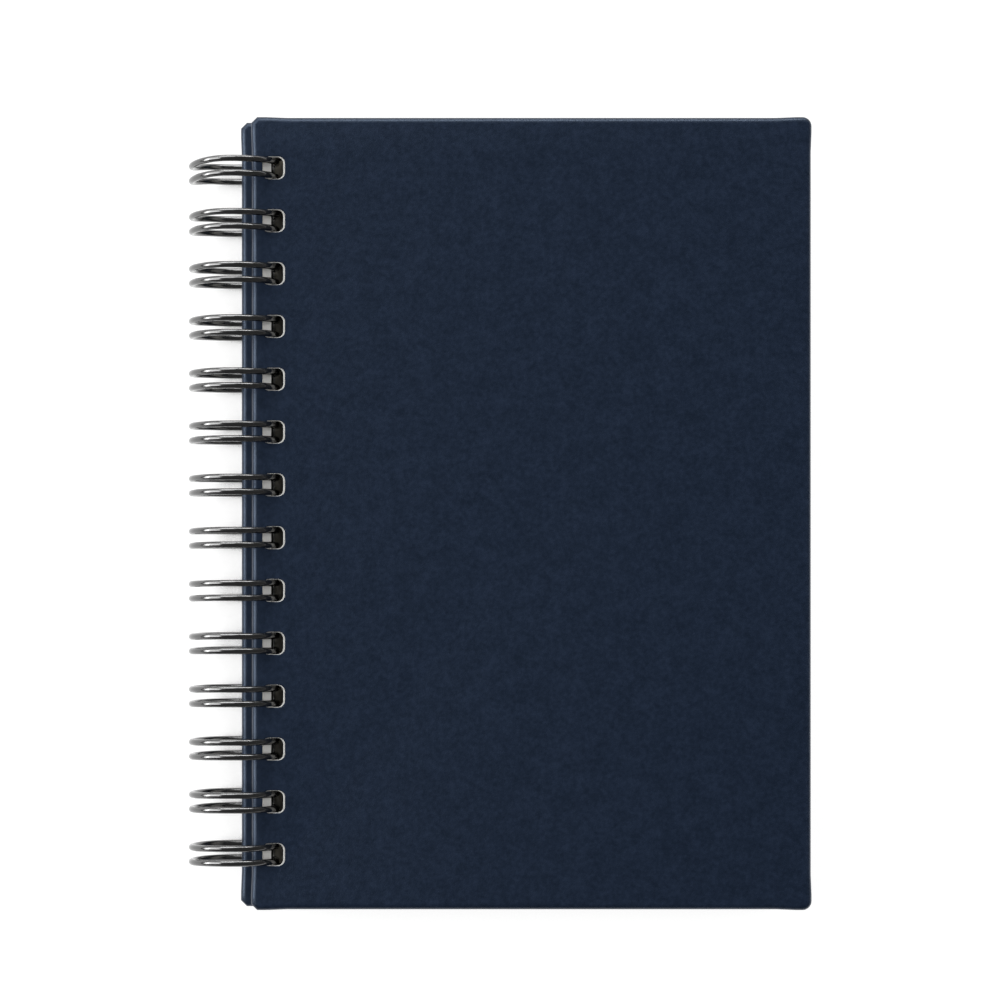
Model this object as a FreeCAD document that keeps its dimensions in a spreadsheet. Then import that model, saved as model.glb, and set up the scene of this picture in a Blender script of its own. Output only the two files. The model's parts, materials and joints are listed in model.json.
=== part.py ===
import FreeCAD, Part
import math
import os
import re
import Sketcher

# Hardback notebook on a row of twin wire loops, lying closed on its back cover.
# X runs from the loops to the fore-edge, Y from the foot to the head, Z up.
# The origin is the middle of the surface that the notebook lies on.
# Every sub-part is drawn about the loops' common axis, which both covers turn about.

doc = FreeCAD.newDocument("spiral_notebook")

# Driving dimensions, in millimetres and degrees

DIMENSIONS = {
    "loop_pitch": 12.7,
    "row_end_margin": 12.0,
    "loop_outer_dia": 22.0,
    "wire_dia": 1.55,
    "leg_spacing": 3.5,
    "row_shift": 0.55,
    "connector_to_cover": 0.2,
    "connector_bend": 1.25,
    "tip_angle": 45.0,
    "facet_angle": 15.0,
    "cover_width": 134.5,
    "cover_length": 190.5,
    "board_thick": 1.5,
    "leather_thick": 0.45,
    "lining_thick": 0.2,
    "turn_in": 15.0,
    "fore_corner_round": 1.8,
    "spine_corner_cut": 1.7,
    "fold_bevel": 0.5,
    "lining_inset": 2.5,
    "lining_web": 0.2,
    "hole_margin": 2.6,
    "hole_width": 5.4,
    "hole_play": 0.225,
    "hole_corner_cut": 0.85,
    "rim_fore": 0.5,
    "rim_spine": 0.1,
    "rim_ends": 0.1,
    "front_cover_shift": 0.38,
    "front_cover_height": 2.3,
    "back_cover_lift": 2.6,
    "page_fore_inset": 4.5,
    "page_end_inset": 2.75,
    "page_margin": 3.0,
    "page_hole_width": 5.2,
    "page_hole_play": 0.12,
    "page_to_cover": 0.1,
    "page_to_wire": 0.15,
    "ramp_length": 15.0,
}

sheet = doc.addObject("Spreadsheet::Sheet", "dimensions")
for row, (alias, size) in enumerate(DIMENSIONS.items(), start=1):
    sheet.set(f"A{row}", alias)
    sheet.set(f"B{row}", str(size))
    sheet.setAlias(f"B{row}", alias)
doc.recompute()

# Sizes worked out from the driving dimensions, as expressions

WIRE_RADIUS = "((loop_outer_dia - wire_dia) / 2)"
LOOP_INNER = "(loop_outer_dia / 2 - wire_dia)"
PAGE_ARC = f"({LOOP_INNER} - page_to_wire)"
LOOP_COUNT = "(floor((cover_length - 2 * row_end_margin) / loop_pitch) + 1)"
ROW_LENGTH = f"(loop_pitch * ({LOOP_COUNT} - 1))"
FIRST_LOOP_Y = f"(row_shift + {ROW_LENGTH} / 2)"
COVER_HALF = "cover_length / 2"
CASE_THICK = "(board_thick + 2 * leather_thick)"
COVER_THICK = f"(lining_thick + {CASE_THICK})"
FRONT_LEVEL = "front_cover_height"
BACK_LEVEL = f"(loop_outer_dia / 2 - back_cover_lift - {COVER_THICK})"
HOLE_LENGTH = "(leg_spacing + wire_dia + 2 * hole_play)"
PAGE_HOLE_LENGTH = "(leg_spacing + wire_dia + 2 * page_hole_play)"
BOARD_LIFT = "(lining_thick + leather_thick)"
INNER_CUT = "(spine_corner_cut - leather_thick * (2 - sqrt(2)))"
PAGE_TOP = f"({FRONT_LEVEL} - page_to_cover)"
PAGE_BOTTOM = f"({BACK_LEVEL} - page_to_cover)"
PAGE_WIDTH = "(cover_width - page_fore_inset)"
PAGE_LENGTH = "(cover_length - 2 * page_end_inset)"
CONNECTOR_DROP = f"({BACK_LEVEL} - connector_to_cover - wire_dia / 2)"
CONNECTOR_X = f"sqrt({WIRE_RADIUS} ^ 2 - {CONNECTOR_DROP} ^ 2)"


def wire_middle(level):
    """How far from the axis the middle of what the loops fill in a cover's thickness is."""
    near = f"sqrt({LOOP_INNER} ^ 2 - ({level} + {COVER_THICK}) ^ 2)"
    far = f"sqrt((loop_outer_dia / 2) ^ 2 - {level} ^ 2)"
    return f"(({near} + {far}) / 2)"


# How far from the axis the spine edge of each cover is, with its holes round the wire
BACK_REACH = f"({wire_middle(BACK_LEVEL)} - hole_width / 2 - hole_margin)"
FRONT_REACH = f"({wire_middle(FRONT_LEVEL)} - hole_width / 2 - hole_margin + front_cover_shift)"
AXIS_X = f"-({FRONT_REACH} + cover_width - loop_outer_dia / 2) / 2"
AXIS_Z = "loop_outer_dia / 2"


def cells(text):
    """An expression in which each dimension's name has become its cell."""
    return re.sub(
        r"[a-z_]+",
        lambda word: f"<<dimensions>>.{word[0]}" if word[0] in DIMENSIONS else word[0],
        text,
    )


def number(text):
    """What an expression comes to."""
    return float(sheet.evalExpression(cells(text)))


# Helpers for sketches and features

START, END, CENTRE = range(1, 4)
ORIGIN = (-1, START)
SAME_LEVEL = 0.001
UP = FreeCAD.Vector(0, 0, 1)


def flat(x, y):
    return FreeCAD.Vector(x, y, 0)


def new_body(label):
    """A body whose own frame is the loops' axis at the middle of the notebook's length."""
    body = doc.addObject("PartDesign::Body", label)
    body.Label = label
    body.setExpression("Placement.Base.x", cells(AXIS_X))
    body.setExpression("Placement.Base.z", cells(AXIS_Z))
    return body


def new_sketch(body, name, role, lift="0"):
    """A sketch on one of the body's origin planes, moved along the plane's normal."""
    sketch = body.newObject("Sketcher::SketchObject", name)
    planes = [plane for plane in body.Origin.OriginFeatures if plane.Role == role]
    sketch.AttachmentSupport = [(planes[0], "")]
    sketch.MapMode = "FlatFace"
    sketch.setExpression("AttachmentOffset.Base.z", cells(lift))
    return sketch


def drive(sketch, kind, first, second, text):
    """Hold the distance from one point on to another at an expression that isn't negative."""
    index = sketch.addConstraint(Sketcher.Constraint(kind, *first, *second, number(text)))
    sketch.setExpression(f"Constraints[{index}]", cells(text))


def locate(sketch, kind, point, text):
    """Hold a point's X or Y at an expression, on whichever side of the origin that is."""
    if number(text) < 0:
        drive(sketch, kind, point, ORIGIN, f"-({text})")
    else:
        drive(sketch, kind, ORIGIN, point, text)


def drive_radius(sketch, arc, text):
    index = sketch.addConstraint(Sketcher.Constraint("Radius", arc, number(text)))
    sketch.setExpression(f"Constraints[{index}]", cells(text))


def join(sketch, first, first_end, second, second_end):
    sketch.addConstraint(Sketcher.Constraint("Coincident", first, first_end, second, second_end))


def draw_arc(sketch, centre, radius, low, high):
    """An anticlockwise arc between two angles in radians."""
    circle = Part.Circle(centre, UP, radius)
    return sketch.addGeometry(Part.ArcOfCircle(circle, low, high), False)


def draw_panel(sketch, left, right, foot, head, corners=(None, None, None, None)):
    """A rectangle between four expressions.

    Its corners run anticlockwise from the left one at the foot. Each is None for a square
    corner, ("round", radius) or ("cut", size), a cut taking the same size off both sides.
    """
    x_low, x_high, y_low, y_high = [number(text) for text in (left, right, foot, head)]
    points = [flat(x_low, y_low), flat(x_high, y_low), flat(x_high, y_high), flat(x_low, y_high)]
    along = [flat(1, 0), flat(0, 1), flat(-1, 0), flat(0, -1)]
    sizes = [number(corner[1]) if corner else 0 for corner in corners]
    sides = []
    for i in range(4):
        after = (i + 1) % 4
        begin = points[i] + along[i] * sizes[i]
        finish = points[after] - along[i] * sizes[after]
        sides.append(sketch.addGeometry(Part.LineSegment(begin, finish), False))
        sketch.addConstraint(Sketcher.Constraint("Vertical" if i % 2 else "Horizontal", sides[i]))
    for i, corner in enumerate(corners):
        side_in, side_out = sides[i - 1], sides[i]
        if corner is None:
            join(sketch, side_in, END, side_out, START)
            continue
        kind, size = corner
        entry = points[i] - along[i - 1] * sizes[i]
        leave = points[i] + along[i] * sizes[i]
        if kind == "round":
            turn = math.atan2(-along[i].y, -along[i].x)
            arc = draw_arc(sketch, entry + along[i] * sizes[i], sizes[i], turn, turn + math.pi / 2)
            sketch.addConstraint(Sketcher.Constraint("Tangent", side_in, END, arc, START))
            sketch.addConstraint(Sketcher.Constraint("Tangent", arc, END, side_out, START))
            drive_radius(sketch, arc, size)
            continue
        cut = sketch.addGeometry(Part.LineSegment(entry, leave), False)
        join(sketch, side_in, END, cut, START)
        join(sketch, cut, END, side_out, START)
        for axis, run in (("DistanceX", leave.x - entry.x), ("DistanceY", leave.y - entry.y)):
            ends = ((cut, START), (cut, END)) if run > 0 else ((cut, END), (cut, START))
            drive(sketch, axis, *ends, size)
    locate(sketch, "DistanceY", (sides[0], START), foot)
    locate(sketch, "DistanceX", (sides[1], START), right)
    locate(sketch, "DistanceY", (sides[2], START), head)
    locate(sketch, "DistanceX", (sides[3], START), left)


def extrude(body, kind, name, sketch, length, towards=1):
    """A Pad or Pocket from a sketch, along its normal or, with towards -1, against it."""
    feature = body.newObject(f"PartDesign::{kind}", name)
    feature.Profile = sketch
    feature.setExpression("Length", cells(length))
    feature.Reversed = towards < 0 if kind == "Pad" else towards > 0
    doc.recompute()
    return feature


def repeat_along_row(body, feature, sketch, axis, reverse):
    """Repeat a cut at every loop of the row, from the head towards the foot."""
    pattern = body.newObject("PartDesign::LinearPattern", f"{feature.Name}_row")
    pattern.Originals = [feature]
    pattern.Direction = (sketch, [axis])
    pattern.Reversed = reverse
    pattern.setExpression("Length", cells(ROW_LENGTH))
    pattern.setExpression("Occurrences", cells(LOOP_COUNT))
    body.Tip = pattern
    doc.recompute()


def edges_at_height(feature, height):
    """Names of the feature's edges that lie in one level plane."""
    names = []
    for i, edge in enumerate(feature.Shape.Edges, start=1):
        box = edge.BoundBox
        if max(abs(box.ZMin - height), abs(box.ZMax - height)) < SAME_LEVEL:
            names.append(f"Edge{i}")
    return names


# Covers

def punch(body, side, base, depth, left, right, half_length, corner):
    """Punch the row of holes through a cover's layer."""
    sketch = new_sketch(body, f"{body.Label}_hole_outline", "XY_Plane", base)
    head = f"{FIRST_LOOP_Y} + {half_length}"
    foot = f"{FIRST_LOOP_Y} - {half_length}"
    draw_panel(sketch, left, right, foot, head, (corner,) * 4)
    hole = extrude(body, "Pocket", f"{body.Label}_hole", sketch, depth, side)
    repeat_along_row(body, hole, sketch, "V_Axis", True)


def make_leatherette(label, side, reach, level):
    """The skin of a cover: its outer face, its folded edges and its turned-in margins.

    side is 1 for the front cover and -1 for the back cover, level is the height of the
    lining's inner face, and everything is stacked outwards from there.
    """
    body = new_body(label)
    inner = f"{side} * ({level} + lining_thick)"
    corners = (
        ("cut", "spine_corner_cut"),
        ("round", "fore_corner_round"),
        ("round", "fore_corner_round"),
        ("cut", "spine_corner_cut"),
    )
    outline = new_sketch(body, f"{label}_outline", "XY_Plane", inner)
    draw_panel(
        outline, reach, f"{reach} + cover_width", f"-{COVER_HALF}", COVER_HALF, corners
    )
    skin = extrude(body, "Pad", f"{label}_stack", outline, CASE_THICK, side)

    outer_height = number(f"{side} * ({level} + lining_thick + {CASE_THICK})")
    rims = edges_at_height(skin, number(inner)) + edges_at_height(skin, outer_height)
    folds = body.newObject("PartDesign::Chamfer", f"{label}_folds")
    folds.Base = (skin, rims)
    folds.setExpression("Size", cells("fold_bevel"))
    doc.recompute()

    room = new_sketch(body, f"{label}_board_room", "XY_Plane", f"{side} * ({level} + {BOARD_LIFT})")
    draw_board_outline(room, reach)
    extrude(body, "Pocket", f"{label}_board_pocket", room, "board_thick", side)

    window = new_sketch(body, f"{label}_window_outline", "XY_Plane", inner)
    draw_window(window, reach, "0")
    extrude(body, "Pocket", f"{label}_window", window, "leather_thick", side)

    punch(
        body, side, inner, CASE_THICK,
        f"{reach} + hole_margin", f"{reach} + hole_margin + hole_width",
        f"{HOLE_LENGTH} / 2", ("cut", "hole_corner_cut"),
    )
    return body


def draw_board_outline(sketch, reach):
    """The board's edge, one skin inside the cover's."""
    corners = (
        ("cut", INNER_CUT),
        ("round", "fore_corner_round - leather_thick"),
        ("round", "fore_corner_round - leather_thick"),
        ("cut", INNER_CUT),
    )
    draw_panel(
        sketch,
        f"{reach} + leather_thick", f"{reach} + cover_width - leather_thick",
        f"leather_thick - {COVER_HALF}", f"{COVER_HALF} - leather_thick",
        corners,
    )


def draw_window(sketch, reach, gap):
    """The edge of the bare board between the turned-in margins, drawn in by a gap."""
    draw_panel(
        sketch,
        f"{reach} + turn_in + {gap}", f"{reach} + cover_width - turn_in - {gap}",
        f"turn_in + {gap} - {COVER_HALF}", f"{COVER_HALF} - turn_in - {gap}",
    )


def make_board(label, side, reach, level):
    """The stiff board inside a cover. Its holes are smaller than the skin's, which leaves a pale rim."""
    body = new_body(label)
    base = f"{side} * ({level} + {BOARD_LIFT})"
    outline = new_sketch(body, f"{label}_outline", "XY_Plane", base)
    draw_board_outline(outline, reach)
    extrude(body, "Pad", f"{label}_sheet", outline, "board_thick", side)
    punch(
        body, side, base, "board_thick",
        f"{reach} + hole_margin + rim_spine",
        f"{reach} + hole_margin + hole_width - rim_fore",
        f"({HOLE_LENGTH} / 2 - rim_ends)", None,
    )
    return body


def make_lining(label, side, reach, level):
    """The paper pasted over a cover's turned-in margins, which dips on to the board between them."""
    body = new_body(label)
    base = f"{side} * ({level})"
    outline = new_sketch(body, f"{label}_outline", "XY_Plane", base)
    draw_panel(
        outline,
        f"{reach} + hole_margin - lining_web", f"{reach} + cover_width - lining_inset",
        f"lining_inset - {COVER_HALF}", f"{COVER_HALF} - lining_inset",
    )
    extrude(body, "Pad", f"{label}_sheet", outline, "lining_thick", side)

    tray = new_sketch(body, f"{label}_tray_outline", "XY_Plane", f"{side} * ({level} + lining_thick)")
    draw_window(tray, reach, "0")
    extrude(body, "Pad", f"{label}_tray", tray, "leather_thick", side)

    dip = new_sketch(body, f"{label}_dip_outline", "XY_Plane", base)
    draw_window(dip, reach, "lining_thick")
    extrude(body, "Pocket", f"{label}_dip", dip, "leather_thick", side)

    punch(
        body, side, base, "lining_thick",
        f"{reach} + hole_margin", f"{reach} + hole_margin + hole_width",
        f"{HOLE_LENGTH} / 2", None,
    )
    return body


def make_cover(name, side, reach, level):
    """A cover's skin, board and lining."""
    return [
        make_leatherette(f"{name}_leatherette", side, reach, level),
        make_board(f"{name}_board", side, reach, level),
        make_lining(f"{name}_lining", side, reach, level),
    ]


# Pages

def draw_loop_arc(sketch, shift, low, high):
    """An arc of the holes' radius about a point shifted along X, between two heights."""
    radius = number(PAGE_ARC)
    angles = [math.asin(number(height) / radius) for height in (low, high)]
    arc = draw_arc(sketch, flat(number(shift), 0), radius, *angles)
    sketch.addConstraint(Sketcher.Constraint("PointOnObject", arc, CENTRE, -1))
    if number(shift):
        locate(sketch, "DistanceX", (arc, CENTRE), shift)
    else:
        sketch.addConstraint(Sketcher.Constraint("PointOnObject", arc, CENTRE, -2))
    drive_radius(sketch, arc, PAGE_ARC)
    return arc


def draw_between(sketch, first, second):
    """A straight line from one point (geometry, place) to another, joined at both ends."""
    ends = [sketch.getPoint(*point) for point in (first, second)]
    line = sketch.addGeometry(Part.LineSegment(*ends), False)
    join(sketch, line, START, *first)
    join(sketch, line, END, *second)
    return line


def make_page_block(label):
    """All the sheets as one block.

    Each sheet hangs on the loops by its holes, so the spine side, the holes and the
    fore-edge all follow the loops' curve. Near the spine the last sheets ride up over
    the straight runs of wire that join the loops.
    """
    body = new_body(label)
    profile = new_sketch(body, f"{label}_profile", "XZ_Plane")
    top, bottom = PAGE_TOP, f"-{PAGE_BOTTOM}"
    ride = f"-({CONNECTOR_DROP} - wire_dia / 2 - page_to_wire)"
    spine = draw_loop_arc(profile, "-page_margin", ride, top)
    fore_edge = draw_loop_arc(profile, f"{PAGE_WIDTH} - page_margin", bottom, top)
    draw_between(profile, (spine, END), (fore_edge, END))

    ramp_foot = flat(number(f"{CONNECTOR_X} + wire_dia + ramp_length"), number(bottom))
    ramp_top = flat(number(f"{CONNECTOR_X} + wire_dia"), number(ride))
    ramp = profile.addGeometry(Part.LineSegment(ramp_foot, ramp_top), False)
    underside = draw_between(profile, (fore_edge, START), (ramp, START))
    over_wire = draw_between(profile, (ramp, END), (spine, START))
    for line in (underside, over_wire):
        profile.addConstraint(Sketcher.Constraint("Horizontal", line))
    locate(profile, "DistanceX", (ramp, END), f"{CONNECTOR_X} + wire_dia")
    locate(profile, "DistanceX", (ramp, START), f"{CONNECTOR_X} + wire_dia + ramp_length")
    locate(profile, "DistanceY", (spine, START), ride)
    locate(profile, "DistanceY", (spine, END), top)
    locate(profile, "DistanceY", (fore_edge, START), bottom)
    locate(profile, "DistanceY", (fore_edge, END), top)
    block = body.newObject("PartDesign::Pad", f"{label}_stack")
    block.Profile = profile
    block.Midplane = True
    block.setExpression("Length", cells(PAGE_LENGTH))
    doc.recompute()

    # The hole's outline runs a wire's thickness past the block above and below
    slot = new_sketch(body, f"{label}_hole_profile", "XZ_Plane", f"-({FIRST_LOOP_Y})")
    near = draw_loop_arc(slot, "0", f"{bottom} - wire_dia", f"{top} + wire_dia")
    far = draw_loop_arc(slot, "page_hole_width", f"{bottom} - wire_dia", f"{top} + wire_dia")
    draw_between(slot, (near, END), (far, END))
    draw_between(slot, (far, START), (near, START))
    for arc in (near, far):
        locate(slot, "DistanceY", (arc, START), f"{bottom} - wire_dia")
        locate(slot, "DistanceY", (arc, END), f"{top} + wire_dia")
    hole = body.newObject("PartDesign::Pocket", f"{label}_hole")
    hole.Profile = slot
    hole.Midplane = True
    hole.setExpression("Length", cells(PAGE_HOLE_LENGTH))
    doc.recompute()
    repeat_along_row(body, hole, slot, "N_Axis", False)
    return body


# Wire

WIRE_SIDES = 6
TIP_STEPS = 4
BEND_STEPS = 2


def flat_wire_route():
    """The wire's route before it is rolled: hairpins side by side, joined by straight runs.

    Each point is (s, y), with s measured round the loops from the level of their axis.
    """
    radius = number(WIRE_RADIUS)
    pitch, half_gap = number("loop_pitch"), number("leg_spacing / 2")
    bend = number("connector_bend")
    run = -math.asin(number(CONNECTOR_DROP) / radius) * radius
    facet = number("facet_angle")
    tip = 360 - number("tip_angle")
    first_facet = math.ceil(math.degrees((run + bend) / radius) / facet)
    turns = [facet * i for i in range(first_facet, math.ceil(tip / facet))] + [tip]
    leg = [math.radians(turn) * radius for turn in turns]
    loops = round(number(LOOP_COUNT))

    def bend_points(y, way):
        """From the straight run at the side of a leg, round into the leg."""
        points = []
        for i in range(BEND_STEPS + 1):
            turn = math.pi / 2 * i / BEND_STEPS
            points.append((run + bend * (1 - math.cos(turn)), y + way * bend * (1 - math.sin(turn))))
        return points

    route = []
    for i in range(loops):
        y = number(FIRST_LOOP_Y) - pitch * i
        near, far = y + half_gap, y - half_gap
        route += bend_points(near, 1) if i else [(run + bend, near)]
        route += [(s, near) for s in leg]
        for step in range(1, TIP_STEPS):
            turn = math.pi * step / TIP_STEPS
            route.append((leg[-1] + half_gap * math.sin(turn), y + half_gap * math.cos(turn)))
        route += [(s, far) for s in reversed(leg)]
        route += reversed(bend_points(far, -1)) if i < loops - 1 else [(run + bend, far)]
    return route


def make_wire_binding(label):
    """One wire, bent to and fro into hairpins and rolled round into loops.

    The hairpins' tips close against the straight runs between the last sheet and the back cover.
    """
    radius = number(WIRE_RADIUS)
    half_wire = number("wire_dia / 2")
    line = []
    for s, y in flat_wire_route():
        angle = s / radius
        line.append(FreeCAD.Vector(radius * math.cos(angle), y, radius * math.sin(angle)))
    sections = []
    for i, point in enumerate(line):
        before = point - line[i - 1] if i else line[1] - point
        after = line[i + 1] - point if i + 1 < len(line) else before
        along = before.normalize() + FreeCAD.Vector(after).normalize()
        along.normalize()
        outward = FreeCAD.Vector(point.x, 0, point.z)
        outward = (outward - along * outward.dot(along)).normalize()
        across = along.cross(outward)
        ring = []
        for k in range(WIRE_SIDES + 1):
            turn = 2 * math.pi * k / WIRE_SIDES
            ring.append(point + (outward * math.cos(turn) + across * math.sin(turn)) * half_wire)
        sections.append(Part.makePolygon(ring))
    wire = doc.addObject("Part::Feature", label)
    wire.Label = label
    wire.Shape = Part.makeLoft(sections, True, True)
    wire.Placement.Base = FreeCAD.Vector(number(AXIS_X), 0, number(AXIS_Z))
    return wire


subparts = make_cover("front_cover", 1, FRONT_REACH, FRONT_LEVEL)
subparts += make_cover("back_cover", -1, BACK_REACH, BACK_LEVEL)
subparts.append(make_page_block("page_block"))
subparts.append(make_wire_binding("wire_binding"))
doc.recompute()

for item in doc.Objects:
    if "Invalid" in item.State or "Error" in item.State:
        raise RuntimeError(f"{item.Name} didn't build")
for subpart in subparts:
    if subpart.Shape.isNull() or not subpart.Shape.isValid():
        raise RuntimeError(f"{subpart.Label} has no valid shape")

os.makedirs("parts", exist_ok=True)
for subpart in subparts:
    subpart.Shape.exportStep(f"parts/{subpart.Label}.step")
    box = subpart.Shape.BoundBox
    print(
        subpart.Label, len(subpart.Shape.Solids), round(subpart.Shape.Volume, 2),
        [round(v, 3) for v in (box.XMin, box.XMax, box.YMin, box.YMax, box.ZMin, box.ZMax)],
    )
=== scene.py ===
import bpy
import bmesh
import json
import math
from mathutils import Matrix, Vector


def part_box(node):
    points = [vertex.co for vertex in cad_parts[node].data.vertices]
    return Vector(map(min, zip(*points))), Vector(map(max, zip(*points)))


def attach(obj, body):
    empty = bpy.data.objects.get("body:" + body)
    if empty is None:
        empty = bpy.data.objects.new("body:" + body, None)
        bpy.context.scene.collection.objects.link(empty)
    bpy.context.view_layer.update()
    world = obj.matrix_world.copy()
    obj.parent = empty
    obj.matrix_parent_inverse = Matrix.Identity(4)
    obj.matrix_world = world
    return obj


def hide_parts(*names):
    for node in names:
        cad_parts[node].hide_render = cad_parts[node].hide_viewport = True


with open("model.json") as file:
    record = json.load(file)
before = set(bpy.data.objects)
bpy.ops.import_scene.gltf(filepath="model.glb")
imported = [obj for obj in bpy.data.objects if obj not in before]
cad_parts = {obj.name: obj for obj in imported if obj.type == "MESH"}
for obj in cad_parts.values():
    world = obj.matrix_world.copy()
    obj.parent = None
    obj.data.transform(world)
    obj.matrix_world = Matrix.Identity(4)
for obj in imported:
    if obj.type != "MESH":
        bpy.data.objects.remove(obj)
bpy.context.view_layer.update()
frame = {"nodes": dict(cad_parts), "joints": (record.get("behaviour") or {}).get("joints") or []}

MM = 0.001
scene = bpy.context.scene


# Places read from the frame, in metres

hinge = {joint["name"]: joint for joint in frame["joints"]}["front_cover_hinge"]
AXIS = Vector(hinge["pos_m"])
front_low, front_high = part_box("front_cover_leatherette")
back_low, back_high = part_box("back_cover_leatherette")
page_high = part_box("page_block")[1]


# Camera, straight above the notebook

CAMERA_HEIGHT = 880 * MM
FRAME_WIDTH = 240.35 * MM
CAMERA_X = 0.2 * MM
FRAME_MIDDLE_Y = 3.24 * MM
CAMERA_SHIFT = 0.086
SENSOR_WIDTH = 36
NEAREST = 10 * MM
FARTHEST = 20


def make_camera():
    data = bpy.data.cameras.new("camera")
    data.sensor_width = SENSOR_WIDTH
    data.lens = data.sensor_width * CAMERA_HEIGHT / FRAME_WIDTH
    data.shift_y = CAMERA_SHIFT
    data.clip_start = NEAREST
    data.clip_end = FARTHEST
    camera = bpy.data.objects.new("camera", data)
    camera_y = FRAME_MIDDLE_Y - CAMERA_SHIFT * FRAME_WIDTH
    camera.location = (CAMERA_X, camera_y, front_high.z + CAMERA_HEIGHT)
    scene.collection.objects.link(camera)
    scene.camera = camera


# Mesh helpers

def rounded_outline(low, high, radius, steps):
    """Points anticlockwise round a rectangle with round corners, from its left corner at the foot."""
    points = []
    spots = [(low[0], low[1]), (high[0], low[1]), (high[0], high[1]), (low[0], high[1])]
    along = [(1, 0), (0, 1), (-1, 0), (0, -1)]
    for i, (x, y) in enumerate(spots):
        into, out = along[i - 1], along[i]
        cx = x - into[0] * radius + out[0] * radius
        cy = y - into[1] * radius + out[1] * radius
        for k in range(steps + 1):
            turn = math.pi / 2 * k / steps
            points.append((
                cx - out[0] * radius * math.cos(turn) + into[0] * radius * math.sin(turn),
                cy - out[1] * radius * math.cos(turn) + into[1] * radius * math.sin(turn),
            ))
    return points


def stack_mesh(name, loops):
    """A closed solid through a stack of outlines of equal length, each a list of 3-D points."""
    count = len(loops[0])
    verts = [point for loop in loops for point in loop]
    faces = [list(range(count))[::-1], [count * (len(loops) - 1) + i for i in range(count)]]
    for level in range(len(loops) - 1):
        for i in range(count):
            j = (i + 1) % count
            a, b = level * count, (level + 1) * count
            faces.append([a + i, a + j, b + j, b + i])
    mesh = bpy.data.meshes.new(name)
    mesh.from_pydata(verts, [], faces)
    mesh.update()
    shell = bmesh.new()
    shell.from_mesh(mesh)
    bmesh.ops.recalc_face_normals(shell, faces=shell.faces)
    shell.to_mesh(mesh)
    shell.free()
    piece = bpy.data.objects.new(name, mesh)
    scene.collection.objects.link(piece)
    return piece


def cut_away(piece, cutter):
    """Take one solid out of another and throw the cutter away."""
    step = piece.modifiers.new("cut", "BOOLEAN")
    step.operation = "DIFFERENCE"
    step.solver = "EXACT"
    step.object = cutter
    bpy.context.view_layer.update()
    depsgraph = bpy.context.evaluated_depsgraph_get()
    mesh = bpy.data.meshes.new_from_object(piece.evaluated_get(depsgraph))
    piece.modifiers.clear()
    piece.data = mesh
    bpy.data.objects.remove(cutter)


def join_stacks(name, stacks):
    """Several separate stacks of outlines as one object."""
    parts = [stack_mesh(f"{name}_{i}", loops) for i, loops in enumerate(stacks)]
    whole = bmesh.new()
    for part in parts:
        whole.from_mesh(part.data)
        bpy.data.objects.remove(part)
    mesh = bpy.data.meshes.new(name)
    whole.to_mesh(mesh)
    whole.free()
    piece = bpy.data.objects.new(name, mesh)
    scene.collection.objects.link(piece)
    return piece


def shade_smooth(piece, angle):
    """Smooth shading, with creases where faces meet at more than an angle in degrees."""
    mesh = piece.data
    mesh.polygons.foreach_set("use_smooth", [True] * len(mesh.polygons))
    mesh.set_sharp_from_angle(angle=math.radians(angle))
    mesh.update()


# Materials, with their ramps as (position, colour) stops

NAVY = [
    (0.36, (0.0046, 0.0092, 0.0204)),
    (0.50, (0.0070, 0.0128, 0.0274)),
    (0.64, (0.0100, 0.0172, 0.0356)),
]
NAVY_SHEEN = (0.60, 0.76, 1.0, 1)
CLOUD_SHARE = 0.45
GRAIN_SHARE = 0.55
BLACK_NICKEL = [(0.35, (0.002, 0.002, 0.002)), (0.65, (0.005, 0.005, 0.005))]
SHEET_FACE = [(0.3, (0.88, 0.875, 0.86)), (0.7, (0.93, 0.925, 0.91))]
SHEET_EDGE = [(0.38, (0.52, 0.51, 0.48)), (0.60, (0.87, 0.86, 0.83))]
# Painted shade on the walls of the page block's punched holes, then how far that painted shade reaches
# from the loops' axis and the block's ends
PAINTED_HOLE_SHADE = (0.035, 0.034, 0.032)
SPINE_REACH = 9.2 * MM
HOLES_REACH = 16 * MM
PAGE_MARGIN = 1 * MM


def new_material(name):
    material = bpy.data.materials.new(name)
    material.use_nodes = True
    nodes = material.node_tree.nodes
    nodes.clear()
    output = nodes.new("ShaderNodeOutputMaterial")
    shader = nodes.new("ShaderNodeBsdfPrincipled")
    material.node_tree.links.new(shader.outputs[0], output.inputs[0])
    return material, nodes, material.node_tree.links, shader


def noise(nodes, links, coordinates, scale, detail=3, roughness=0.5, distortion=0.0):
    """A noise texture, with its scale in features per metre."""
    texture = nodes.new("ShaderNodeTexNoise")
    texture.inputs["Scale"].default_value = scale
    texture.inputs["Detail"].default_value = detail
    texture.inputs["Roughness"].default_value = roughness
    texture.inputs["Distortion"].default_value = distortion
    links.new(coordinates, texture.inputs["Vector"])
    return texture.outputs["Fac"]


def ramp(nodes, links, value, stops):
    """A colour ramp through (position, colour) stops."""
    node = nodes.new("ShaderNodeValToRGB")
    links.new(value, node.inputs["Fac"])
    band = node.color_ramp
    while len(band.elements) < len(stops):
        band.elements.new(0.5)
    for element, (position, colour) in zip(band.elements, stops):
        element.position = position
        element.color = (*colour, 1)
    return node.outputs["Color"]


def mix_value(nodes, links, operation, first, second):
    node = nodes.new("ShaderNodeMath")
    node.operation = operation
    for socket, value in zip(node.inputs, (first, second)):
        if isinstance(value, (int, float)):
            socket.default_value = value
        else:
            links.new(value, socket)
    return node.outputs[0]


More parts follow.
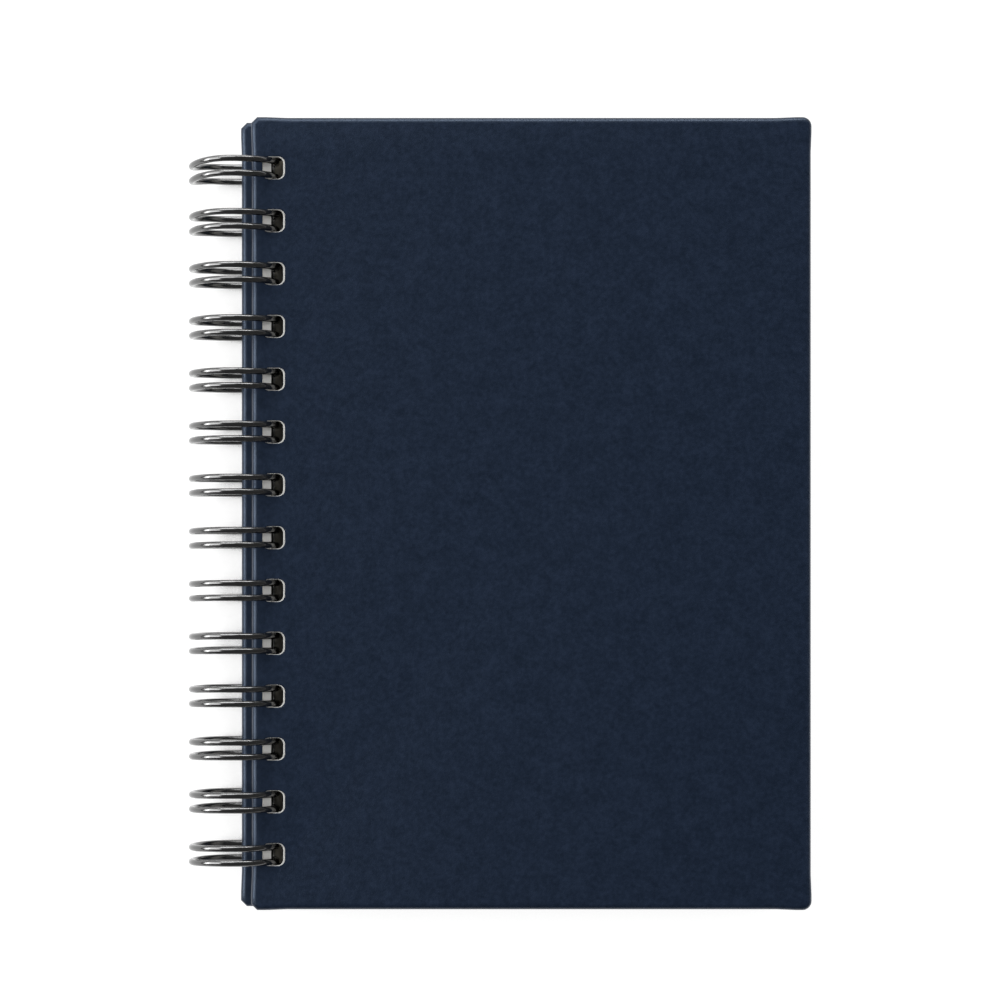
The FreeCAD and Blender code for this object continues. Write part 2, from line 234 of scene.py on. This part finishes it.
def mix_colour(nodes, links, share, first, second):
    """first where share is 0 and second where it is 1."""
    node = nodes.new("ShaderNodeMix")
    node.data_type = "RGBA"
    sockets = [s for s in node.inputs if s.enabled]
    links.new(share, sockets[0])
    for socket, value in zip(sockets[1:], (first, second)):
        if isinstance(value, tuple):
            socket.default_value = (*value, 1)
        else:
            links.new(value, socket)
    return [s for s in node.outputs if s.enabled][0]


def bump(nodes, links, shader, height, distance, strength=1.0, under=None):
    node = nodes.new("ShaderNodeBump")
    node.inputs["Distance"].default_value = distance
    node.inputs["Strength"].default_value = strength
    links.new(height, node.inputs["Height"])
    if under is not None:
        links.new(under, node.inputs["Normal"])
    links.new(node.outputs[0], shader.inputs["Normal"])
    return node.outputs[0]


def leatherette_material():
    """Navy leatherette: fine pebbled grain, faint cloudy mottling, a soft satin face."""
    material, nodes, links, shader = new_material("navy_leatherette")
    place = nodes.new("ShaderNodeTexCoord").outputs["Object"]
    cloud = noise(nodes, links, place, scale=240, detail=4, roughness=0.6, distortion=0.4)
    grain = noise(nodes, links, place, scale=900, detail=3, roughness=0.6)
    mottle = mix_value(nodes, links, "ADD", mix_value(nodes, links, "MULTIPLY", cloud, CLOUD_SHARE),
                       mix_value(nodes, links, "MULTIPLY", grain, GRAIN_SHARE))
    links.new(ramp(nodes, links, mottle, NAVY), shader.inputs["Base Color"])
    cells = nodes.new("ShaderNodeTexVoronoi")
    cells.inputs["Scale"].default_value = 2100
    links.new(place, cells.inputs["Vector"])
    fine = noise(nodes, links, place, scale=3800, detail=2, roughness=0.5)
    height = mix_value(nodes, links, "ADD", cells.outputs["Distance"],
                       mix_value(nodes, links, "MULTIPLY", fine, 0.7))
    swell = bump(nodes, links, shader, cloud, distance=0.02 * MM, strength=0.6)
    bump(nodes, links, shader, height, distance=0.02 * MM, strength=0.9, under=swell)
    rough = mix_value(nodes, links, "ADD", mix_value(nodes, links, "MULTIPLY", grain, 0.12), 0.30)
    links.new(rough, shader.inputs["Roughness"])
    shader.inputs["Specular IOR Level"].default_value = 0.5
    shader.inputs["Specular Tint"].default_value = NAVY_SHEEN
    return material


def wire_material():
    """Glossy black nickel on drawn wire, with faint drawing marks."""
    material, nodes, links, shader = new_material("black_nickel_wire")
    place = nodes.new("ShaderNodeTexCoord").outputs["Object"]
    marks = noise(nodes, links, place, scale=1400, detail=3, roughness=0.6)
    links.new(ramp(nodes, links, marks, BLACK_NICKEL), shader.inputs["Base Color"])
    rough = mix_value(nodes, links, "ADD", mix_value(nodes, links, "MULTIPLY", marks, 0.10), 0.14)
    links.new(rough, shader.inputs["Roughness"])
    shader.inputs["IOR"].default_value = 1.75
    shader.inputs["Specular IOR Level"].default_value = 0.8
    shader.inputs["Coat Weight"].default_value = 0.5
    shader.inputs["Coat Roughness"].default_value = 0.08
    return material


def paper_material(name, dark, light, scale):
    """Uncoated paper or board: faint fibres and clouding."""
    material, nodes, links, shader = new_material(name)
    place = nodes.new("ShaderNodeTexCoord").outputs["Object"]
    fibres = noise(nodes, links, place, scale, detail=4, roughness=0.65)
    colour = ramp(nodes, links, fibres, [(0.3, dark), (0.7, light)])
    links.new(colour, shader.inputs["Base Color"])
    bump(nodes, links, shader, fibres, distance=0.01 * MM, strength=0.5)
    shader.inputs["Roughness"].default_value = 0.85
    shader.inputs["Specular IOR Level"].default_value = 0.3
    return material


def sheets_material():
    """White writing paper: the sheets' edges show as fine level lines, and the insides of the punched
    holes are painted dark as shade.

    The painted shade lies on the upright faces between the curved spine and the holes' far side.
    """
    material, nodes, links, shader = new_material("writing_paper")
    place = nodes.new("ShaderNodeTexCoord").outputs["Object"]
    spot = nodes.new("ShaderNodeSeparateXYZ")
    links.new(place, spot.inputs[0])
    facing = nodes.new("ShaderNodeSeparateXYZ")
    links.new(nodes.new("ShaderNodeNewGeometry").outputs["True Normal"], facing.inputs[0])
    upright = mix_value(nodes, links, "LESS_THAN",
                        mix_value(nodes, links, "ABSOLUTE", facing.outputs["Z"], 0), 0.5)

    from_axis = [mix_value(nodes, links, "SUBTRACT", spot.outputs["X"], AXIS.x),
                 mix_value(nodes, links, "SUBTRACT", spot.outputs["Z"], AXIS.z)]
    squares = [mix_value(nodes, links, "MULTIPLY", value, value) for value in from_axis]
    outside = mix_value(nodes, links, "GREATER_THAN",
                        mix_value(nodes, links, "ADD", *squares), SPINE_REACH ** 2)
    near_row = mix_value(nodes, links, "LESS_THAN", from_axis[0], HOLES_REACH)
    within = mix_value(nodes, links, "LESS_THAN",
                       mix_value(nodes, links, "ABSOLUTE", spot.outputs["Y"], 0),
                       page_high.y - PAGE_MARGIN)
    # Where the painted shade goes: the hole walls get a near-black colour standing in for the shade deep
    # inside the holes
    punched = upright
    for mask in (outside, near_row, within):
        punched = mix_value(nodes, links, "MULTIPLY", punched, mask)

    fibres = noise(nodes, links, place, scale=900, detail=4, roughness=0.65)
    face = ramp(nodes, links, fibres, SHEET_FACE)
    level = nodes.new("ShaderNodeMapping")
    level.inputs["Scale"].default_value = (0.004, 0.004, 1)
    links.new(place, level.inputs["Vector"])
    lines = noise(nodes, links, level.outputs[0], scale=5200, detail=2, roughness=0.7)
    edge = ramp(nodes, links, lines, SHEET_EDGE)
    colour = mix_colour(nodes, links, upright, face, edge)
    # Painted shade: the hole walls take the dark colour in place of the paper's
    colour = mix_colour(nodes, links, punched, colour, PAINTED_HOLE_SHADE)
    links.new(colour, shader.inputs["Base Color"])
    height = mix_value(nodes, links, "MULTIPLY", lines, upright)
    bump(nodes, links, shader, height, distance=0.05 * MM, strength=0.6)
    shader.inputs["Roughness"].default_value = 0.85
    shader.inputs["Specular IOR Level"].default_value = 0.2
    return material


# Covers

UPPER_FOLD = 1.38 * MM
LOWER_FOLD = 1.0 * MM
FOLD_STEPS = 7
FORE_CORNER = 2.0 * MM
FORE_CORNER_LEAST = 0.4 * MM
FORE_CORNER_STEPS = 8
SPINE_CORNER = 1.25 * MM
SPINE_CORNER_LEAST = 0.5 * MM
SPINE_CORNER_SHRINK = 0.6
CORNER_LAYERS = 3.4 * MM
CORNER_EASE = 5 * MM
CORNER_SWELL = 0.2 * MM
BACK_SPINE_SWELL = 0.25 * MM
SKIN = 0.45 * MM
TURN_IN = 15 * MM
WINDOW_ROUND = 0.2 * MM
WINDOW_STEPS = 2
HOLE_MARGIN = 2.6 * MM
HOLE_WIDTH = 5.4 * MM
HOLE_HALF = 2.75 * MM
HOLE_ROUND = {"front_cover": 1.6 * MM, "back_cover": 0.8 * MM}
HOLE_STEPS = 8
HOLE_LIP = 0.12 * MM
RIM_FORE = 0.42 * MM
RIM_ENDS = 0.1 * MM
LOOP_PITCH = 12.7 * MM
LOOP_COUNT = 14
ROW_SHIFT = 0.55 * MM
OVERCUT = 1 * MM
COVER_CREASE = 40


def loop_y(i):
    return ROW_SHIFT + LOOP_PITCH * ((LOOP_COUNT - 1) / 2 - i)


def cover_outline(low, high, inset, swell):
    """A cover seen from above: cut spine corners, rounded fore corners.

    The layers folded at each corner make the last few millimetres of every side stand proud.
    """
    cut = max(SPINE_CORNER - inset * SPINE_CORNER_SHRINK, SPINE_CORNER_LEAST)
    radius = max(FORE_CORNER - inset, FORE_CORNER_LEAST)
    x0, x1, y0, y1 = low.x + inset, high.x - inset, low.y + inset, high.y - inset
    run, ease = CORNER_LAYERS, CORNER_EASE
    points = []

    def side(start, end, out, trim_start, trim_end):
        """Along one side, stepping outwards by the swell near its ends."""
        along = Vector((end[0] - start[0], end[1] - start[1]))
        length = along.length
        along.normalize()
        for distance, share in (
            (trim_start, 1), (run, 1), (run + ease, 0),
            (length - run - ease, 0), (length - run, 1), (length - trim_end, 1),
        ):
            push = swell * share
            points.append((
                start[0] + along.x * distance + out[0] * push,
                start[1] + along.y * distance + out[1] * push,
            ))

    def corner(cx, cy, first, last):
        """The round between two sides, without its end points."""
        for k in range(1, FORE_CORNER_STEPS):
            turn = math.radians(first + (last - first) * k / FORE_CORNER_STEPS)
            reach = radius + swell
            points.append((cx + reach * math.cos(turn), cy + reach * math.sin(turn)))

    side((x0, y0), (x1, y0), (0, -1), cut, radius)
    corner(x1 - radius, y0 + radius, -90, 0)
    side((x1, y0), (x1, y1), (1, 0), radius, radius)
    corner(x1 - radius, y1 - radius, 0, 90)
    side((x1, y1), (x0, y1), (0, 1), radius, cut)
    side((x0, y1), (x0, y0), (-1, 0), cut, cut)
    return points


def fold_profile(low_z, high_z):
    """(height, inset) pairs up a rounded side."""
    rows = []
    for k in range(FOLD_STEPS + 1):
        turn = math.pi / 2 * k / FOLD_STEPS
        rows.append((low_z + LOWER_FOLD * (1 - math.cos(turn)), LOWER_FOLD * (1 - math.sin(turn))))
    for k in range(FOLD_STEPS + 1):
        turn = math.pi / 2 * k / FOLD_STEPS
        rows.append((high_z - UPPER_FOLD * (1 - math.sin(turn)), UPPER_FOLD * (1 - math.cos(turn))))
    return rows


def cover_slab(name, low, high, rows, swell):
    loops = []
    for z, inset in rows:
        loops.append([(x, y, z) for x, y in cover_outline(low, high, inset, swell)])
    return stack_mesh(name, loops)


def punch_row(piece, low, high, edge, rim_fore, rim_ends, radius, lip):
    """Punch the row of holes, with their edges pressed in a little where lip isn't 0."""
    stacks = []
    for i in range(LOOP_COUNT):
        y = loop_y(i)
        levels = []
        steps = [(low.z - OVERCUT, 0), (high.z + OVERCUT, 0)]
        if lip:
            steps = [
                (low.z - OVERCUT, lip), (low.z, lip), (low.z + lip, 0),
                (high.z - lip, 0), (high.z, lip), (high.z + OVERCUT, lip),
            ]
        for z, flare in steps:
            hole = rounded_outline(
                (edge + HOLE_MARGIN - flare, y - HOLE_HALF + rim_ends - flare),
                (edge + HOLE_MARGIN + HOLE_WIDTH - rim_fore + flare, y + HOLE_HALF - rim_ends + flare),
                radius + flare, HOLE_STEPS,
            )
            levels.append([(px, py, z) for px, py in hole])
        stacks.append(levels)
    cut_away(piece, join_stacks("holes", stacks))


def finish_piece(piece, body, node, material, crease):
    piece.data.materials.clear()
    piece.data.materials.append(material)
    shade_smooth(piece, crease)
    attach(piece, body)
    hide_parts(node)


def make_leatherette(body, low, high, outside_up, material):
    """A cover's skin: rounded folds, turned-in margins and a row of punched holes."""
    node = f"{body}_leatherette"
    board_lo, board_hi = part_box(f"{body}_board")
    piece = cover_slab(f"{body}_skin", low, high, fold_profile(low.z, high.z), CORNER_SWELL)
    room = cover_slab("room", board_lo, board_hi, [(board_lo.z, 0), (board_hi.z, 0)], 0)
    cut_away(piece, room)

    if outside_up:
        levels = (low.z - OVERCUT, board_lo.z + SKIN)
    else:
        levels = (board_hi.z - SKIN, high.z + OVERCUT)
    outline = rounded_outline(
        (low.x + TURN_IN, low.y + TURN_IN), (high.x - TURN_IN, high.y - TURN_IN),
        WINDOW_ROUND, WINDOW_STEPS,
    )
    cut_away(piece, stack_mesh("window", [[(x, y, z) for x, y in outline] for z in levels]))
    punch_row(piece, low, high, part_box(node)[0].x, 0, 0, HOLE_ROUND[body], HOLE_LIP)
    finish_piece(piece, body, node, material, COVER_CREASE)


def make_board(body, edge, material):
    """A cover's stiff board. Its holes are a little smaller than the skin's, which leaves a pale rim."""
    low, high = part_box(f"{body}_board")
    piece = cover_slab(f"{body}_core", low, high, [(low.z, 0), (high.z, 0)], 0)
    punch_row(piece, low, high, edge, RIM_FORE, RIM_ENDS, HOLE_ROUND[body] - RIM_ENDS, 0)
    finish_piece(piece, body, f"{body}_board", material, COVER_CREASE)


# Wire

WIRE_RADIUS = 0.775 * MM
LOOP_RADIUS = 10.225 * MM
LEG_HALF_GAP = 1.75 * MM
BEND = 1.25 * MM
RUN_ANGLE = math.radians(-28.16)
TIP_ANGLE = math.radians(315)
LEAN_FROM, LEAN_PEAK, LEAN_TO = 98, 178, 242
LEAN_EVERY = 0.2         # millimetres, at every loop
LEAN_FIRST = 0.8         # millimetres more at the first loop, fading along the row
LEAN_LOOPS = 1.2
WIRE_SIDES = 16
LEG_STEPS = 72
BEND_STEPS = 8
WIRE_CREASE = 50


def leg_lean(i, angle):
    """How far a loop leans towards the foot at an angle round the axis: the first loops most.

    Only its outer end leans, clear of where the covers hang when closed and when fully turned.
    """
    turned = math.degrees(angle)
    step = (turned - LEAN_FROM) / (LEAN_PEAK - LEAN_FROM)
    if turned > LEAN_PEAK:
        step = (LEAN_TO - turned) / (LEAN_TO - LEAN_PEAK)
    step = min(max(step, 0), 1)
    return step * step * (3 - 2 * step) * (LEAN_EVERY + LEAN_FIRST * math.exp(-i / LEAN_LOOPS)) * MM


def wire_route():
    """The wire's points: hairpins in a row, rolled round the loops' axis."""
    run = RUN_ANGLE * LOOP_RADIUS
    tip = TIP_ANGLE * LOOP_RADIUS
    start = run + BEND
    flat = []
    for i in range(LOOP_COUNT):
        y = loop_y(i)
        near, far = y + LEG_HALF_GAP, y - LEG_HALF_GAP
        if i:
            for k in range(BEND_STEPS):
                turn = math.pi / 2 * k / BEND_STEPS
                flat.append((i, run + BEND * (1 - math.cos(turn)), near + BEND * (1 - math.sin(turn))))
        for k in range(LEG_STEPS + 1):
            flat.append((i, start + (tip - start) * k / LEG_STEPS, near))
        for k in range(1, 2 * BEND_STEPS):
            turn = math.pi * k / (2 * BEND_STEPS)
            flat.append((i, tip + LEG_HALF_GAP * math.sin(turn), y + LEG_HALF_GAP * math.cos(turn)))
        for k in range(LEG_STEPS, -1, -1):
            flat.append((i, start + (tip - start) * k / LEG_STEPS, far))
        if i < LOOP_COUNT - 1:
            for k in range(BEND_STEPS - 1, -1, -1):
                turn = math.pi / 2 * k / BEND_STEPS
                flat.append((i, run + BEND * (1 - math.cos(turn)), far - BEND * (1 - math.sin(turn))))
    route = []
    for i, s, y in flat:
        angle = s / LOOP_RADIUS
        x, z = LOOP_RADIUS * math.cos(angle), LOOP_RADIUS * math.sin(angle)
        route.append(Vector((AXIS.x + x, y - leg_lean(i, angle), AXIS.z + z)))
    return route


def make_wire(material):
    route = wire_route()
    verts, faces = [], []
    for i, point in enumerate(route):
        before = (point - route[i - 1]) if i else (route[1] - point)
        after = (route[i + 1] - point) if i + 1 < len(route) else before
        along = (before.normalized() + after.normalized()).normalized()
        outward = Vector((point.x - AXIS.x, 0, point.z - AXIS.z))
        outward = (outward - along * outward.dot(along)).normalized()
        across = along.cross(outward)
        for k in range(WIRE_SIDES):
            turn = 2 * math.pi * k / WIRE_SIDES
            verts.append(point + (outward * math.cos(turn) + across * math.sin(turn)) * WIRE_RADIUS)
    for i in range(len(route) - 1):
        for k in range(WIRE_SIDES):
            j = (k + 1) % WIRE_SIDES
            a, b = i * WIRE_SIDES, (i + 1) * WIRE_SIDES
            faces.append([a + k, a + j, b + j, b + k])
    faces.append(list(range(WIRE_SIDES))[::-1])
    faces.append([(len(route) - 1) * WIRE_SIDES + k for k in range(WIRE_SIDES)])
    mesh = bpy.data.meshes.new("twin_loop_wire")
    mesh.from_pydata(verts, [], faces)
    mesh.update()
    piece = bpy.data.objects.new("twin_loop_wire", mesh)
    scene.collection.objects.link(piece)
    piece.data.materials.append(material)
    shade_smooth(piece, WIRE_CREASE)
    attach(piece, "block")
    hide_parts("wire_binding")


# Light and surroundings

WORLD_LIGHT = 0.12
FLOOR_HALF = 3.0
FLOOR_GREY = 0.30
FLOOR_GLOW = 0.85
# Painted shade on the floor: ambient occlusion dims its glow near the notebook, as a contact shadow
SHADE_SAMPLES = 8
SHADE_DISTANCE = 30 * MM
SHADE_FROM = 0.1
SHADE_TO = 0.35


def area_light(name, place, along, size, power):
    """A rectangular lamp that faces the notebook, with its long side in a given direction."""
    data = bpy.data.lights.new(name, "AREA")
    data.shape = "RECTANGLE"
    data.size, data.size_y = size
    data.energy = power
    light = bpy.data.objects.new(name, data)
    back = Vector(place).normalized()
    side = Vector(along)
    side = (side - back * side.dot(back)).normalized()
    turn = Matrix((side, back.cross(side), back)).transposed().to_4x4()
    light.matrix_world = Matrix.Translation(place) @ turn
    scene.collection.objects.link(light)
    return light


def background_share(nodes, links):
    """1 for rays that see the floor straight, mirrored or through something clear."""
    path = nodes.new("ShaderNodeLightPath")
    either = mix_value(nodes, links, "MAXIMUM", path.outputs["Is Camera Ray"],
                       path.outputs["Is Transmission Ray"])
    return mix_value(nodes, links, "MAXIMUM", either, path.outputs["Is Glossy Ray"])


def make_world():
    world = bpy.data.worlds.new("studio")
    world.use_nodes = True
    scene.world = world
    nodes, links = world.node_tree.nodes, world.node_tree.links
    nodes.clear()
    output = nodes.new("ShaderNodeOutputWorld")
    background = nodes.new("ShaderNodeBackground")
    background.inputs["Color"].default_value = (1, 1, 1, 1)
    background.inputs["Strength"].default_value = WORLD_LIGHT
    links.new(background.outputs[0], output.inputs[0])


def make_floor():
    """A pale floor that glows where it is seen, with painted shade: its glow dims where something stands
    close to it.
    """
    size = FLOOR_HALF
    mesh = bpy.data.meshes.new("floor")
    corner = [(-size, -size, 0), (size, -size, 0), (size, size, 0), (-size, size, 0)]
    mesh.from_pydata(corner, [], [[0, 1, 2, 3]])
    floor = bpy.data.objects.new("floor", mesh)
    scene.collection.objects.link(floor)
    material = bpy.data.materials.new("pale_floor")
    material.use_nodes = True
    nodes, links = material.node_tree.nodes, material.node_tree.links
    nodes.clear()
    output = nodes.new("ShaderNodeOutputMaterial")
    matt = nodes.new("ShaderNodeBsdfDiffuse")
    matt.inputs["Color"].default_value = (FLOOR_GREY, FLOOR_GREY, FLOOR_GREY, 1)
    glow = nodes.new("ShaderNodeEmission")
    glow.inputs["Color"].default_value = (1, 1, 1, 1)
    # Painted shade: ambient occlusion turns the floor's glow down under and beside the notebook
    shade = nodes.new("ShaderNodeAmbientOcclusion")
    shade.samples = SHADE_SAMPLES
    shade.inputs["Distance"].default_value = SHADE_DISTANCE
    open_share = nodes.new("ShaderNodeMapRange")
    open_share.inputs["From Min"].default_value = SHADE_FROM
    open_share.inputs["From Max"].default_value = SHADE_TO
    links.new(shade.outputs["AO"], open_share.inputs["Value"])
    strength = mix_value(nodes, links, "MULTIPLY", background_share(nodes, links),
                         mix_value(nodes, links, "MULTIPLY", open_share.outputs[0], FLOOR_GLOW))
    links.new(strength, glow.inputs["Strength"])
    both = nodes.new("ShaderNodeAddShader")
    links.new(matt.outputs[0], both.inputs[0])
    links.new(glow.outputs[0], both.inputs[1])
    links.new(both.outputs[0], output.inputs[0])
    floor.data.materials.append(material)


make_camera()
navy = leatherette_material()
nickel = wire_material()
board = paper_material("bare_board", (0.74, 0.73, 0.70), (0.86, 0.85, 0.82), 1500)
endpaper = paper_material("endpaper", (0.66, 0.63, 0.56), (0.73, 0.70, 0.63), 700)
sheets = sheets_material()

for cover, edge in (("front_cover", front_low.x), ("back_cover", back_low.x)):
    make_board(cover, edge, board)
    frame["nodes"][f"{cover}_lining"].material_slots[0].material = endpaper
frame["nodes"]["page_block"].material_slots[0].material = sheets
make_leatherette("front_cover", front_low, front_high, True, navy)
make_leatherette("back_cover", back_low - Vector((BACK_SPINE_SWELL, 0, 0)), back_high, False, navy)
make_wire(nickel)
make_world()
make_floor()

# Lamps: place and size in metres, power in watts. The fill lamp shows in no highlight, and the two
# edge lamps show in highlights only.
area_light("key", (-0.70, 1.15, 0.85), (1.3, 0.45, 0.55), (1.7, 1.0), 14)
area_light("left", (-1.30, 0.10, 1.00), (0, 1, 0), (1.1, 1.1), 18)
area_light("fill", (1.15, 0.10, 0.95), (0, 1, 0), (1.1, 1.1), 13).visible_glossy = False
area_light("back_edge", (0.10, 1.60, 0.50), (1, 0, 0), (1.8, 0.4), 20).visible_diffuse = False
area_light("left_edge", (-1.60, 0.10, 0.55), (0, 1, 0), (1.5, 0.4), 13).visible_diffuse = False

scene.view_settings.view_transform = "Standard"
